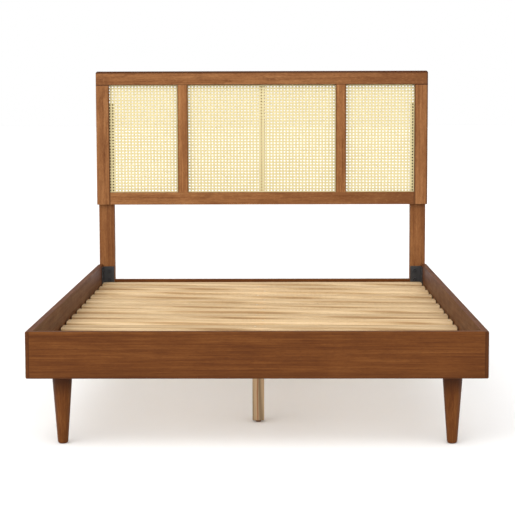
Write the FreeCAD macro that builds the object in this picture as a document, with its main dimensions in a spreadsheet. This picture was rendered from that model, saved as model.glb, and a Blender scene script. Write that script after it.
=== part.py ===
"""A full-size wooden bed frame: cane headboard, rails, slats, tapered legs and a centre beam.

Millimetres. The origin is on the floor at the middle of the frame. +X is the right-hand side
seen from the foot, +Y runs from the foot to the headboard and +Z is up.
"""
import FreeCAD, Part
import os
import re

import Sketcher

# Driving dimensions: name, value, meaning. Everything else is worked out from these.
DIMENSIONS = [
    ("overall_width", 1463, "outer faces of the side rails"),
    ("overall_length", 1994, "foot rail's front face to the posts' back faces"),
    ("overall_height", 1235, "floor to the top of the headboard"),
    ("edge_round", 2.5, "rounding of the long edges of finished boards"),
    ("rail_round", 5, "rounding of the side rails' lower outer edge"),
    ("slat_round", 2, "rounding of the slats' long edges"),
    ("rail_top", 379, "floor to the top of the rails"),
    ("rail_height", 150, "side rails and foot rail"),
    ("rail_thickness", 22, "side rails and foot rail"),
    ("corner_lap", 11, "side rail's lip that covers the end of the foot rail"),
    ("panel_height", 588, "headboard frame"),
    ("panel_thickness", 22, "headboard frame"),
    ("panel_corner_round", 10, "headboard's upper corners"),
    ("panel_edge_round", 6, "headboard's outer front edges"),
    ("top_rail_height", 60, "headboard's top rail"),
    ("bottom_rail_height", 55, "headboard's bottom rail"),
    ("stile_width", 58, "headboard's outer uprights"),
    ("mullion_width", 45, "headboard's inner uprights"),
    ("centre_opening", 653, "clear width between the mullions"),
    ("rebate_width", 10, "step around each opening that holds the cane"),
    ("rebate_depth", 8, "depth of that step from the back face"),
    ("cane_thickness", 1.8, "woven cane"),
    ("cane_edge_gap", 1, "cane's edge to the side of the rebate"),
    ("spline_width", 8, "reed that holds the cane in its rebate"),
    ("spline_sink", 0.7, "reed's back below the frame's back face"),
    ("batten_width", 28, "upright strip behind the middle cane"),
    ("batten_thickness", 10, "same strip"),
    ("batten_end_gap", 10, "its ends to the headboard's top and bottom"),
    ("post_width", 68, "headboard post along X"),
    ("post_thickness", 35, "headboard post along Y"),
    ("post_inset", 6.5, "post's outer face inside the frame's outer face"),
    ("post_drop", 141, "post's top below the top of the headboard"),
    ("cross_rail_height", 100, "rail between the posts at the slats"),
    ("cross_rail_thickness", 22, "same rail"),
    ("cross_rail_rise", 12, "its top above the slats' top"),
    ("slat_recess", 79, "slats' top below the top of the rails"),
    ("slat_width", 70, "slat along Y"),
    ("slat_thickness", 18, "slat along Z"),
    ("slat_count", 14, "number of slats"),
    ("slat_end_gap", 5, "slat's end to the side rail"),
    ("slat_edge_gap", 10, "first slat to the foot rail and last slat to the posts"),
    ("ledger_thickness", 25, "strip on the side rail that carries the slats"),
    ("ledger_height", 30, "same strip"),
    ("block_size", 120, "corner block that carries a tapered leg"),
    ("block_thickness", 45, "same block"),
    ("leg_inset", 102, "leg's axis from the outer faces"),
    ("leg_top_width", 67, "diameter of a tapered leg at its top"),
    ("leg_tip_width", 33, "diameter of a tapered leg at the floor"),
    ("leg_tip_round", 9, "rounding at the floor"),
    ("beam_width", 40, "centre beam along X"),
    ("beam_height", 50, "centre beam along Z"),
    ("beam_end_gap", 4, "beam's ends to the foot rail and the cross rail"),
    ("support_width", 40, "square support leg under the beam"),
    ("support_setback", 428, "support leg's axis from the end of the frame"),
    ("support_chamfer", 1.5, "bottom edges of a support leg"),
    ("foot_height", 7, "levelling foot's pad"),
    ("foot_taper_height", 4.2, "tapered lower part of the pad"),
    ("foot_gap", 0.5, "pad to the support leg when screwed right in"),
    ("foot_top_width", 23, "diameter of the pad at its top"),
    ("foot_base_width", 17, "diameter of the pad at the floor"),
    ("foot_stud_length", 32, "threaded stud above the pad"),
    ("foot_stud_gap", 2, "hole beyond the stud's end"),
    ("bracket_height", 80, "steel angle bracket"),
    ("bracket_long_arm", 60, "arm on the side rail"),
    ("bracket_short_arm", 50, "arm on the post or the foot rail"),
    ("bracket_plate", 3, "steel of an angle bracket"),
    ("bracket_rise", 8, "angle bracket's bottom above the underside of the slats"),
    ("bracket_bend", 2, "inner radius of the bend"),
    ("bracket_bolt_reach", 30, "bracket's bolts from its corner"),
    ("bracket_hole_margin", 20, "bracket's bolts from its top and bottom"),
    ("hanger_plate", 2.5, "steel of a beam hanger"),
    ("hanger_depth", 40, "beam hanger along Y"),
    ("hanger_wing", 25, "beam hanger's wing on each side"),
    ("hanger_gap", 0.2, "beam to the side of its hanger"),
    ("bolt_width", 8, "M8 bolts and studs"),
    ("bolt_head_width", 16, "low bolt head"),
    ("bolt_head_height", 4.5, "same head"),
    ("socket_width", 5, "hexagon socket in a bolt's head, across its flats"),
    ("socket_depth", 3, "same socket"),
    ("bolt_clearance", 0.5, "added to the bolt's diameter for a clearance hole"),
    ("bolt_end_gap", 1, "bolt's end short of its insert's far end, and hole beyond a hanger bolt"),
    ("headboard_bolt_low", 90, "lower headboard bolt above the bottom of the headboard"),
    ("headboard_bolt_high", 60, "upper headboard bolt below the top of its post"),
    ("counterbore", 6, "depth of a recess for a bolt head"),
    ("thread_gap", 0.16, "threaded bore's diameter less the bolt's, threads drawn plain"),
    ("insert_width", 12, "threaded insert's outer diameter"),
    ("insert_length", 13, "threaded insert"),
    ("insert_relief", 3, "hole beyond a threaded insert"),
    ("nut_width", 13, "M8 nut across its flats"),
    ("nut_height", 6.5, "M8 nut"),
    ("nut_recess_width", 22, "recess for a nut and its socket"),
    ("nut_recess", 12, "depth of that recess"),
    ("hanger_bolt_bite", 40, "hanger bolt inside the tapered leg"),
    ("hanger_bolt_sink", 4, "hanger bolt's top below the top of its corner block"),
    ("dowel_width", 8, "wooden dowel"),
    ("dowel_length", 40, "wooden dowel"),
    ("dowel_end_gap", 0.5, "hole beyond each end of a dowel"),
    ("dowel_margin", 16, "dowel's axis from the edge of its board"),
    ("dowel_board_bite", 12, "depth of a dowel that enters the face of a board"),
    ("screw_width", 4.5, "wood screws"),
    ("screw_head_width", 9, "countersunk head"),
    ("screw_head_height", 2.5, "same head"),
    ("long_screw", 40, "length of a long wood screw"),
    ("short_screw", 18, "length of a short wood screw"),
    ("screw_edge", 6, "slat's middle screw from the side of the beam"),
    ("wood_gap", 0.05, "wood to a dowel, screw or insert, on every side"),
    ("overcut", 1, "cutting tool past the face that it starts from"),
]

# Places and sizes worked out from the driving dimensions.
TERMS = {
    "half_width": "overall_width / 2",
    "foot_face": "-overall_length / 2",
    "foot_inner": "foot_face + rail_thickness",
    "head_back": "overall_length / 2",
    "post_front": "head_back - post_thickness",
    "panel_front": "post_front - panel_thickness",
    "panel_middle": "post_front - panel_thickness / 2",
    "panel_bottom": "overall_height - panel_height",
    "opening_bottom": "panel_bottom + bottom_rail_height",
    "opening_top": "overall_height - top_rail_height",
    "cane_front": "post_front - rebate_depth",
    "cane_back": "cane_front + cane_thickness",
    "stile_inner": "half_width - stile_width",
    "mullion_inner": "centre_opening / 2",
    "mullion_outer": "mullion_inner + mullion_width",
    "post_outer": "half_width - post_inset",
    "post_inner": "post_outer - post_width",
    "post_top": "overall_height - post_drop",
    "rail_inner": "half_width - rail_thickness",
    "rail_bottom": "rail_top - rail_height",
    "lap_inner": "half_width - corner_lap",
    "slat_top": "rail_top - slat_recess",
    "slat_bottom": "slat_top - slat_thickness",
    "slat_run": "post_front - foot_inner - 2 * slat_edge_gap - slat_width",
    "slat_pitch": "slat_run / (slat_count - 1)",
    "slat_start": "foot_inner + slat_edge_gap",
    "ledger_bottom": "slat_bottom - ledger_height",
    "ledger_inner": "rail_inner - ledger_thickness",
    "block_inner": "rail_inner - block_size",
    "block_back": "foot_inner + block_size",
    "block_bottom": "slat_bottom - block_thickness",
    "leg_axis_x": "half_width - leg_inset",
    "leg_axis_y": "foot_face + leg_inset",
    "beam_bottom": "slat_bottom - beam_height",
    "cross_rail_top": "slat_top + cross_rail_rise",
    "cross_rail_bottom": "cross_rail_top - cross_rail_height",
    "support_y": "foot_face + support_setback",
    "support_bottom": "foot_height + foot_gap",
    "bracket_bottom": "slat_bottom + bracket_rise",
    "hanger_half": "beam_width / 2 + hanger_gap",
    "bolt_x": "(stile_inner + post_outer) / 2",
    "headboard_bolt_length": "post_thickness - counterbore + insert_length - bolt_end_gap",
    "support_bolt_length": "beam_height - counterbore + insert_length - bolt_end_gap",
    "bracket_bolt_length": "bracket_plate + insert_length - bolt_end_gap",
    "hanger_bolt_top": "block_thickness - hanger_bolt_sink",
}

SIDES = {"left": -1, "right": 1}
ALIASES = {name for name, value, meaning in DIMENSIONS}

doc = FreeCAD.newDocument("bed_frame")
sheet = doc.addObject("Spreadsheet::Sheet", "Sizes")
for row, (name, value, meaning) in enumerate(DIMENSIONS, start=1):
    sheet.set(f"A{row}", name)
    sheet.set(f"B{row}", str(value))
    sheet.set(f"C{row}", meaning)
    sheet.setAlias(f"B{row}", name)
doc.recompute()


def formula(text):
    """An expression for FreeCAD, with worked-out terms spelled in full down to sheet cells."""

    def spell(word):
        name = word.group()
        if name in TERMS:
            return f"({formula(TERMS[name])})"
        return f"Sizes.{name}" if name in ALIASES else name

    return re.sub("[a-z]+(_[a-z]+)*", spell, str(text))


def bind(target, **formulas):
    """Tie properties to formulas; a double underscore in a name stands for a dot."""
    for name, text in formulas.items():
        target.setExpression(name.replace("__", "."), formula(text))


def place(target, x=0, y=0, z=0):
    """Tie an object's position to three formulas."""
    bind(target, Placement__Base__x=x, Placement__Base__y=y, Placement__Base__z=z)


# ---------------------------------------------------------------------------------------------
# Bodies: a sketch, a pad or a revolution, and rounded edges
# ---------------------------------------------------------------------------------------------


def new_body(name):
    return doc.addObject("PartDesign::Body", name)


def new_sketch(body, plane, lift=0):
    """A sketch on one of the body's own origin planes, lifted off it by a formula."""
    sketch = body.newObject("Sketcher::SketchObject", f"{body.Name}_sketch")
    support = next(one for one in body.Origin.OriginFeatures if one.Role == plane)
    sketch.AttachmentSupport = [(support, "")]
    sketch.MapMode = "FlatFace"
    bind(sketch, AttachmentOffset__Base__z=lift)
    return sketch


def add_outline(sketch, corners):
    """A closed outline of straight lines; every corner is dimensioned from the origin."""
    first = sketch.GeometryCount
    count = len(corners)
    scale = 10
    for index in range(count):
        start = FreeCAD.Vector(scale * (index % 2 + 1), scale * index, 0)
        end = FreeCAD.Vector(scale * ((index + 1) % count % 2 + 1), scale * ((index + 1) % count), 0)
        sketch.addGeometry(Part.LineSegment(start, end), False)
    for index in range(count):
        following = first + (index + 1) % count
        sketch.addConstraint(Sketcher.Constraint("Coincident", first + index, 2, following, 1))
    for index, corner in enumerate(corners):
        for kind, text in zip(("DistanceX", "DistanceY"), corner):
            rule = Sketcher.Constraint(kind, -1, 1, first + index, 1, scale)
            number = sketch.addConstraint(rule)
            sketch.setExpression(f"Constraints[{number}]", formula(text))


def pad(body, sketch, length, downwards=False):
    feature = body.newObject("PartDesign::Pad", f"{body.Name}_pad")
    feature.Profile = sketch
    feature.Reversed = downwards
    bind(feature, Length=length)
    doc.recompute()
    return feature


def on_side(edge, shape, side):
    """True where the whole edge lies on that side of the shape's box."""
    axis, end = {
        "left": ("X", "Min"), "right": ("X", "Max"), "front": ("Y", "Min"),
        "back": ("Y", "Max"), "bottom": ("Z", "Min"), "top": ("Z", "Max"),
    }[side]
    level = getattr(shape.BoundBox, axis + end)
    low = getattr(edge.BoundBox, axis + "Min")
    high = getattr(edge.BoundBox, axis + "Max")
    return max(abs(low - level), abs(high - level)) < 0.01


def dress(body, kind, size, *pairs):
    """Round or chamfer the edges where two sides of the body meet, such as 'front top'."""
    feature = body.newObject(f"PartDesign::{kind}", f"{body.Name}_{kind.lower()}")
    shape = feature.BaseFeature.Shape
    names = [
        f"Edge{number}" for number, edge in enumerate(shape.Edges, start=1)
        if any(all(on_side(edge, shape, side) for side in pair.split()) for pair in pairs)
    ]
    feature.Base = (feature.BaseFeature, names)
    bind(feature, **{"Radius" if kind == "Fillet" else "Size": size})
    doc.recompute()


def board(name, low, high):
    """A straight board between two corners, each given as three formulas."""
    body = new_body(name)
    sketch = new_sketch(body, "XY_Plane")
    length, width, height = (f"({end}) - ({start})" for start, end in zip(low, high))
    add_outline(sketch, [(0, 0), (length, 0), (length, width), (0, width)])
    pad(body, sketch, height)
    place(body, *low)
    return body


def turned(name, profile):
    """A round piece: its half profile, (radius, height) pairs, turned about the upright axis."""
    body = new_body(name)
    sketch = new_sketch(body, "XZ_Plane")
    add_outline(sketch, profile)
    feature = body.newObject("PartDesign::Revolution", f"{name}_turn")
    feature.Profile = sketch
    feature.ReferenceAxis = (sketch, ["V_Axis"])
    feature.Angle = 360
    doc.recompute()
    return body


def prism(name, plane, outline, length, lift=0, downwards=False):
    """A straight outline on a plane, padded."""
    body = new_body(name)
    sketch = new_sketch(body, plane, lift)
    add_outline(sketch, outline)
    pad(body, sketch, length, downwards)
    return body


# ---------------------------------------------------------------------------------------------
# Fasteners: one master for each kind, its own cutter, and the spots where it is driven
# ---------------------------------------------------------------------------------------------

Z_AXIS = FreeCAD.Vector(0, 0, 1)
DIRECTIONS = {
    "+X": FreeCAD.Vector(1, 0, 0), "-X": FreeCAD.Vector(-1, 0, 0),
    "+Y": FreeCAD.Vector(0, 1, 0), "-Y": FreeCAD.Vector(0, -1, 0),
    "+Z": FreeCAD.Vector(0, 0, 1), "-Z": FreeCAD.Vector(0, 0, -1),
}


def copies(master, spots):
    """One linked copy of the master at each spot: (x, y, z, the way it is driven)."""
    links = []
    for number, (x, y, z, way) in enumerate(spots, start=1):
        link = doc.addObject("App::Link", f"{master.Name}_{number:02d}")
        link.LinkedObject = master
        link.LinkPlacement = FreeCAD.Placement(
            FreeCAD.Vector(), FreeCAD.Rotation(Z_AXIS, DIRECTIONS[way])
        )
        bind(link, LinkPlacement__Base__x=x, LinkPlacement__Base__y=y, LinkPlacement__Base__z=z)
        links.append(link)
    return links


def gather(name, parts):
    """Several objects as one group of separate solids."""
    group = doc.addObject("Part::Compound", name)
    group.Links = parts
    return group


def bolt_profile(length, extra, head_rise):
    """Half profile of a low-headed bolt: the shank runs up from 0 and the head hangs below."""
    head = f"bolt_head_width / 2 + {extra}"
    shank = f"bolt_width / 2 + ({extra}) / 2"
    return [(0, f"-({head_rise})"), (head, f"-({head_rise})"), (head, 0), (shank, 0),
            (shank, length), (0, length)]


def screw_profile(length, gap):
    """Half profile of a countersunk wood screw, its head level with 0."""
    head = f"screw_head_width / 2 + {gap}"
    shank = f"screw_width / 2 + {gap}"
    tip = f"{length} - screw_width / 2"
    return [(0, 0), (head, 0), (shank, f"screw_head_height + {gap}"), (shank, tip),
            (0, f"{length} + {gap}")]


def rod_profile(width, start, end):
    return [(0, start), (f"({width}) / 2", start), (f"({width}) / 2", end), (0, end)]


MASTERS = {
    "dowel": (
        rod_profile("dowel_width", "-dowel_length / 2", "dowel_length / 2"),
        rod_profile(
            "dowel_width + 2 * wood_gap",
            "-dowel_length / 2 - dowel_end_gap", "dowel_length / 2 + dowel_end_gap",
        ),
    ),
    "long_screw": (screw_profile("long_screw", 0), screw_profile("long_screw", "wood_gap")),
    "short_screw": (screw_profile("short_screw", 0), screw_profile("short_screw", "wood_gap")),
    "headboard_bolt": (
        bolt_profile("headboard_bolt_length", 0, "bolt_head_height"),
        bolt_profile("headboard_bolt_length", "bolt_clearance", "counterbore"),
    ),
    "support_bolt": (
        bolt_profile("support_bolt_length", 0, "bolt_head_height"),
        bolt_profile("support_bolt_length", "bolt_clearance", "counterbore"),
    ),
    "bracket_bolt": (
        bolt_profile("bracket_bolt_length", 0, "bolt_head_height"),
        rod_profile("bolt_width + bolt_clearance", "-bracket_plate", "2 * bracket_plate"),
    ),
    "insert": (
        [("(bolt_width + thread_gap) / 2", 0), ("insert_width / 2", 0),
         ("insert_width / 2", "insert_length"), ("(bolt_width + thread_gap) / 2", "insert_length")],
        [(0, 0), ("insert_width / 2 + wood_gap", 0),
         ("insert_width / 2 + wood_gap", "insert_length"),
         ("(bolt_width + bolt_clearance) / 2", "insert_length"),
         ("(bolt_width + bolt_clearance) / 2", "insert_length + insert_relief"),
         (0, "insert_length + insert_relief")],
    ),
    "hanger_bolt": (
        rod_profile("bolt_width", "-hanger_bolt_bite", "hanger_bolt_top"),
        rod_profile("bolt_width + bolt_clearance", "-hanger_bolt_bite - bolt_end_gap", "block_thickness"),
    ),
}

masters = {kind: turned(f"{kind}_master", pair[0]) for kind, pair in MASTERS.items()}
cutters = {kind: turned(f"{kind}_cutter", pair[1]) for kind, pair in MASTERS.items()}


def hexagon(width):
    """Corners of a hexagon about the origin, given across its flats."""
    flat = 1 / 3 ** 0.5
    steps = ((0.5, flat / 2), (0, flat), (-0.5, flat / 2), (-0.5, -flat / 2), (0, -flat), (0.5, -flat / 2))
    return [(f"{width} * {across}", f"{width} * {along}") for across, along in steps]


def pocket(body, sketch, depth=None):
    """Cut a sketch up into the body to a depth, or right through both ways with none."""
    before = body.Shape.Volume
    feature = body.newObject("PartDesign::Pocket", f"{body.Name}_pocket")
    feature.Profile = sketch
    if depth is None:
        feature.Type = "ThroughAll"
        feature.Midplane = True
    else:
        feature.Reversed = True
        bind(feature, Length=depth)
    doc.recompute()
    if body.Shape.Volume >= before:
        raise RuntimeError(f"{body.Name}: the pocket cuts nothing")


for kind in ("headboard_bolt", "support_bolt", "bracket_bolt"):
    socket = new_sketch(masters[kind], "XY_Plane", "-bolt_head_height")
    add_outline(socket, hexagon("socket_width"))
    pocket(masters[kind], socket, "socket_depth")

nut = prism("nut_master", "XY_Plane", hexagon("nut_width"), "nut_height")
bore = new_sketch(nut, "XY_Plane")
bore.addGeometry(Part.Circle(FreeCAD.Vector(), Z_AXIS, 4), False)
bore.addConstraint(Sketcher.Constraint("Coincident", 0, 3, -1, 1))
bore_size = bore.addConstraint(Sketcher.Constraint("Diameter", 0, 8))
bore.setExpression(f"Constraints[{bore_size}]", formula("bolt_width + thread_gap"))
pocket(nut, bore)


def both_sides(*spots):
    """Each spot on the right-hand side, and its mirror image on the left."""
    flip = {"+X": "-X", "-X": "+X"}
    for x, y, z, way in spots:
        yield x, y, z, way
        yield f"-({x})", y, z, flip.get(way, way)


def slat_middle(number):
    """Y of a slat's centre line, counted from 0 at the foot."""
    return f"slat_start + slat_width / 2 + {number} * slat_pitch"


SLAT_COUNT = int(sheet.slat_count)
LEDGER_SCREW_GAPS = range(1, SLAT_COUNT - 1, 2)

joint_dowels = {
    "stile_top": list(both_sides(
        ("half_width - dowel_margin", "panel_middle", "opening_top", "+Z"),
        ("stile_inner + dowel_margin", "panel_middle", "opening_top", "+Z"),
    )),
    "mullion": list(both_sides(
        ("mullion_inner + mullion_width / 2", "panel_middle", "opening_top", "+Z"),
        ("mullion_inner + mullion_width / 2", "panel_middle", "opening_bottom", "+Z"),
    )),
    "stile_bottom": list(both_sides(
        ("stile_inner", "panel_middle", "panel_bottom + dowel_margin", "+X"),
        ("stile_inner", "panel_middle", "opening_bottom - rebate_width - dowel_width", "+X"),
    )),
    "cross_rail": list(both_sides(
        ("post_inner", "post_front + cross_rail_thickness / 2", "cross_rail_top - dowel_margin", "+X"),
        ("post_inner", "post_front + cross_rail_thickness / 2", "cross_rail_bottom + dowel_margin", "+X"),
    )),
    "block": list(both_sides(
        ("rail_inner - 2 * dowel_margin", "foot_inner - dowel_board_bite + dowel_length / 2",
         "block_bottom + block_thickness / 2", "+Y"),
        ("block_inner + dowel_margin", "foot_inner - dowel_board_bite + dowel_length / 2",
         "block_bottom + block_thickness / 2", "+Y"),
    )),
}
BRACKET_BOLT_LEVELS = (
    "bracket_bottom + bracket_hole_margin",
    "bracket_bottom + bracket_height - bracket_hole_margin",
)
HEADBOARD_BOLT_LEVELS = ("panel_bottom + headboard_bolt_low", "post_top - headboard_bolt_high")
BRACKET_SCREWS = ((0.3, 0.2), (0.75, 0.5), (0.3, 0.8))  # share of the arm and of the height
WING_SCREWS = (0.25, 0.75)  # share of the beam's height
BATTEN_SCREWS = (0.35, 0.7)  # share of the rail's height, from the headboard's edge

headboard_bolt_spots = list(both_sides(*(
    ("bolt_x", "head_back - counterbore", level, "-Y") for level in HEADBOARD_BOLT_LEVELS
)))
stile_insert_spots = list(both_sides(*(
    ("bolt_x", "post_front", level, "-Y") for level in HEADBOARD_BOLT_LEVELS
)))
post_insert_spots = list(both_sides(*(
    ("rail_inner - bracket_bolt_reach", "post_front", level, "+Y") for level in BRACKET_BOLT_LEVELS
)))
rail_insert_spots = list(both_sides(*(
    ("rail_inner", "foot_inner + bracket_bolt_reach", level, "+X") for level in BRACKET_BOLT_LEVELS
)))
head_bolt_spots = list(both_sides(*(
    ("rail_inner - bracket_bolt_reach", "post_front - bracket_plate", level, "+Y")
    for level in BRACKET_BOLT_LEVELS
)))
foot_bolt_spots = list(both_sides(*(
    ("rail_inner - bracket_plate", "foot_inner + bracket_bolt_reach", level, "+X")
    for level in BRACKET_BOLT_LEVELS
)))
head_bracket_screw_spots = list(both_sides(*(
    ("rail_inner - bracket_plate", f"post_front - bracket_long_arm * {along}",
     f"bracket_bottom + bracket_height * {up}", "+X") for along, up in BRACKET_SCREWS
)))
foot_bracket_screw_spots = list(both_sides(*(
    (f"rail_inner - bracket_short_arm * {along}", "foot_inner + bracket_plate",
     f"bracket_bottom + bracket_height * {up}", "-Y") for along, up in BRACKET_SCREWS
)))
WING_SPOTS = [
    ("hanger_half + hanger_plate + hanger_wing / 2", f"beam_bottom + beam_height * {share}")
    for share in WING_SCREWS
]
foot_hanger_screw_spots = list(both_sides(*(
    (x, "foot_inner + hanger_plate", z, "-Y") for x, z in WING_SPOTS
)))
head_hanger_screw_spots = list(both_sides(*(
    (x, "post_front - hanger_plate", z, "+Y") for x, z in WING_SPOTS
)))
batten_screw_spots = [
    (0, "post_front + batten_thickness", level, "-Y") for share in BATTEN_SCREWS for level in (
        f"overall_height - top_rail_height * {share}", f"panel_bottom + bottom_rail_height * {share}",
    )
]
ledger_screw_spots = list(both_sides(*(
    ("ledger_inner", f"{slat_middle(number)} + slat_pitch / 2", "ledger_bottom + ledger_height / 2", "+X")
    for number in LEDGER_SCREW_GAPS
)))
slat_end_spots = [
    list(both_sides(("rail_inner - ledger_thickness / 2", slat_middle(number), "slat_top", "-Z")))
    for number in range(SLAT_COUNT)
]
slat_centre_spots = [
    (f"{1 if number % 2 else -1} * (beam_width / 2 - screw_edge)", slat_middle(number), "slat_top", "-Z")
    for number in range(SLAT_COUNT)
]
support_bolt_spots = [
    (0, y, "slat_bottom - counterbore", "-Z") for y in ("support_y", "-(support_y)")
]
support_top_insert_spots = [(0, y, "beam_bottom", "-Z") for y in ("support_y", "-(support_y)")]
support_foot_insert_spots = [
    (0, y, "support_bottom", "+Z") for y in ("support_y", "-(support_y)")
]
leg_bolt_spots = list(both_sides(("leg_axis_x", "leg_axis_y", "block_bottom", "+Z")))
leg_nut_spots = list(both_sides(("leg_axis_x", "leg_axis_y", "slat_bottom - nut_recess", "+Z")))

# ---------------------------------------------------------------------------------------------
# Finished pieces
# ---------------------------------------------------------------------------------------------

nodes = []


def finish(label, item):
    """Name an object as a finished piece."""
    item.Label = label
    nodes.append(item)
    return item


def machine(label, blank, *tools):
    """The blank with every tool's holes and steps cut away; tools are objects or lists of them."""
    cut = doc.addObject("Part::Cut", f"{label}_cut")
    cut.Base = blank
    cut.Tool = gather(f"{label}_tools", [one for tool in tools for one in tool])
    return finish(label, cut)


def mirror_right(left_piece, label):
    """The right-hand piece, mirrored from the left-hand one."""
    item = doc.addObject("Part::Mirroring", f"{label}_mirror")
    item.Source = left_piece
    item.Normal = FreeCAD.Vector(1, 0, 0)
    return finish(label, item)


def holes(kind, spots):
    return copies(cutters[kind], spots)


def left(spots):
    """The spots driven on the left-hand side."""
    return [spot for spot in spots if str(spot[0]).startswith("-")]


def cutting_box(name, low, high):
    """A plain box to cut with."""
    box = doc.addObject("Part::Box", name)
    length, width, height = (f"({end}) - ({start})" for start, end in zip(low, high))
    bind(box, Length=length, Width=width, Height=height)
    place(box, *low)
    return box


# Headboard frame: rails and uprights with a rebate around each of three openings
OPENINGS = {
    "left": ("-(stile_inner)", "-(mullion_outer)"),
    "centre": ("-(mullion_inner)", "mullion_inner"),
    "right": ("mullion_outer", "stile_inner"),
}
REACH = "rebate_width - cane_edge_gap"

for where, (start, end) in OPENINGS.items():
    cane = doc.addObject("Part::Box", f"cane_{where}")
    bind(
        cane,
        Length=f"({end}) - ({start}) + 2 * ({REACH})",
        Width="cane_thickness",
        Height=f"opening_top - opening_bottom + 2 * ({REACH})",
    )
    place(cane, f"{start} - ({REACH})", "cane_front", f"opening_bottom - ({REACH})")
    finish(f"cane_panel_{where}", cane)

    reeds = []
    depth = ("cane_back", "post_front - spline_sink")
    low_x, high_x = f"{start} - ({REACH})", f"{end} + {REACH}"
    low_z, high_z = f"opening_bottom - ({REACH})", f"opening_top + {REACH}"
    upright = (f"{low_z} + spline_width", f"{high_z} - spline_width")
    strips = {
        "low": ((low_x, low_z), (high_x, upright[0])),
        "high": ((low_x, upright[1]), (high_x, high_z)),
        "near": ((low_x, upright[0]), (f"{low_x} + spline_width", upright[1])),
        "far": ((f"{high_x} - spline_width", upright[0]), (high_x, upright[1])),
    }
    for edge, (low, high) in strips.items():
        reed = cutting_box(f"reed_{where}_{edge}", (low[0], depth[0], low[1]), (high[0], depth[1], high[1]))
        reeds.append(reed)
    finish(f"cane_spline_{where}", gather(f"spline_{where}", reeds))


def rebates(piece):
    """The three rebates, cut from the back of the headboard frame."""
    return [
        cutting_box(
            f"{piece}_rebate_{where}",
            (f"{start} - rebate_width", "cane_front", "opening_bottom - rebate_width"),
            (f"{end} + rebate_width", "post_front + overcut", "opening_top + rebate_width"),
        )
        for where, (start, end) in OPENINGS.items()
    ]


top_rail = board(
    "top_rail_blank", ("-(half_width)", "panel_front", "opening_top"),
    ("half_width", "post_front", "overall_height"),
)
dress(top_rail, "Fillet", "panel_corner_round", "left top", "right top")
dress(top_rail, "Fillet", "panel_edge_round", "front top")
dress(top_rail, "Fillet", "edge_round", "back top")
machine(
    "headboard_top_rail", top_rail, rebates("top_rail"),
    holes("dowel", joint_dowels["stile_top"] + joint_dowels["mullion"]),
    holes("short_screw", batten_screw_spots),
)

bottom_rail = board(
    "bottom_rail_blank", ("-(stile_inner)", "panel_front", "panel_bottom"),
    ("stile_inner", "post_front", "opening_bottom"),
)
dress(bottom_rail, "Fillet", "edge_round", "front bottom", "back bottom")
machine(
    "headboard_bottom_rail", bottom_rail, rebates("bottom_rail"),
    holes("dowel", joint_dowels["stile_bottom"] + joint_dowels["mullion"]),
    holes("short_screw", batten_screw_spots),
)

stile = board(
    "stile_blank", ("-(half_width)", "panel_front", "panel_bottom"),
    ("-(stile_inner)", "post_front", "opening_top"),
)
dress(stile, "Fillet", "panel_edge_round", "front left")
dress(stile, "Fillet", "edge_round", "back left", "front bottom", "back bottom")
stile_left = machine(
    "headboard_stile_left", stile, rebates("stile"),
    holes("dowel", left(joint_dowels["stile_top"]) + left(joint_dowels["stile_bottom"])),
    holes("insert", left(stile_insert_spots)),
)
mirror_right(stile_left, "headboard_stile_right")

mullion = board(
    "mullion_blank", ("-(mullion_outer)", "panel_front", "opening_bottom"),
    ("-(mullion_inner)", "post_front", "opening_top"),
)
mullion_left = machine(
    "headboard_mullion_left", mullion, rebates("mullion"), holes("dowel", left(joint_dowels["mullion"]))
)
mirror_right(mullion_left, "headboard_mullion_right")

batten = board(
    "batten_blank", ("-batten_width / 2", "post_front", "panel_bottom + batten_end_gap"),
    ("batten_width / 2", "post_front + batten_thickness", "overall_height - batten_end_gap"),
)
dress(batten, "Fillet", "slat_round", "back left", "back right")
machine("headboard_batten", batten, holes("short_screw", batten_screw_spots))

# Posts and the rail between them
post = board("post_blank", ("-(post_outer)", "post_front", 0), ("-(post_inner)", "head_back", "post_top"))
dress(post, "Fillet", "edge_round", "front left", "front right", "back left", "back right")
dress(post, "Chamfer", "edge_round", "back top")
post_left = machine(
    "headboard_post_left", post,
    holes("headboard_bolt", left(headboard_bolt_spots)),
    holes("insert", left(post_insert_spots)),
    holes("dowel", left(joint_dowels["cross_rail"])),
)
mirror_right(post_left, "headboard_post_right")

cross_rail = board(
    "cross_rail_blank", ("-(post_inner)", "post_front", "cross_rail_bottom"),
    ("post_inner", "post_front + cross_rail_thickness", "cross_rail_top"),
)
dress(cross_rail, "Fillet", "edge_round", "front top", "back top", "front bottom", "back bottom")
machine(
    "head_cross_rail", cross_rail,
    holes("dowel", joint_dowels["cross_rail"]),
    holes("short_screw", head_hanger_screw_spots),
)

# Side rails, with a lip that covers the end of the foot rail, and the foot rail
side_rail = prism(
    "side_rail_blank", "XY_Plane",
    [("-(half_width)", "foot_face"), ("-(lap_inner)", "foot_face"), ("-(lap_inner)", "foot_inner"),
     ("-(rail_inner)", "foot_inner"), ("-(rail_inner)", "post_front"), ("-(half_width)", "post_front")],
    "rail_height", "rail_bottom",
)
dress(side_rail, "Fillet", "rail_round", "left bottom")
dress(side_rail, "Fillet", "edge_round", "left front", "left top", "front top", "front bottom")
rail_left = machine(
    "side_rail_left", side_rail,
    holes("insert", left(rail_insert_spots)),
    holes("short_screw", left(head_bracket_screw_spots)),
    holes("long_screw", left(ledger_screw_spots)),
)
mirror_right(rail_left, "side_rail_right")

foot_rail = board(
    "foot_rail_blank", ("-(lap_inner)", "foot_face", "rail_bottom"), ("lap_inner", "foot_inner", "rail_top")
)
dress(foot_rail, "Fillet", "edge_round", "front top", "front bottom")
machine(
    "foot_rail", foot_rail,
    holes("dowel", joint_dowels["block"]),
    holes("short_screw", foot_bracket_screw_spots + foot_hanger_screw_spots),
)

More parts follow.
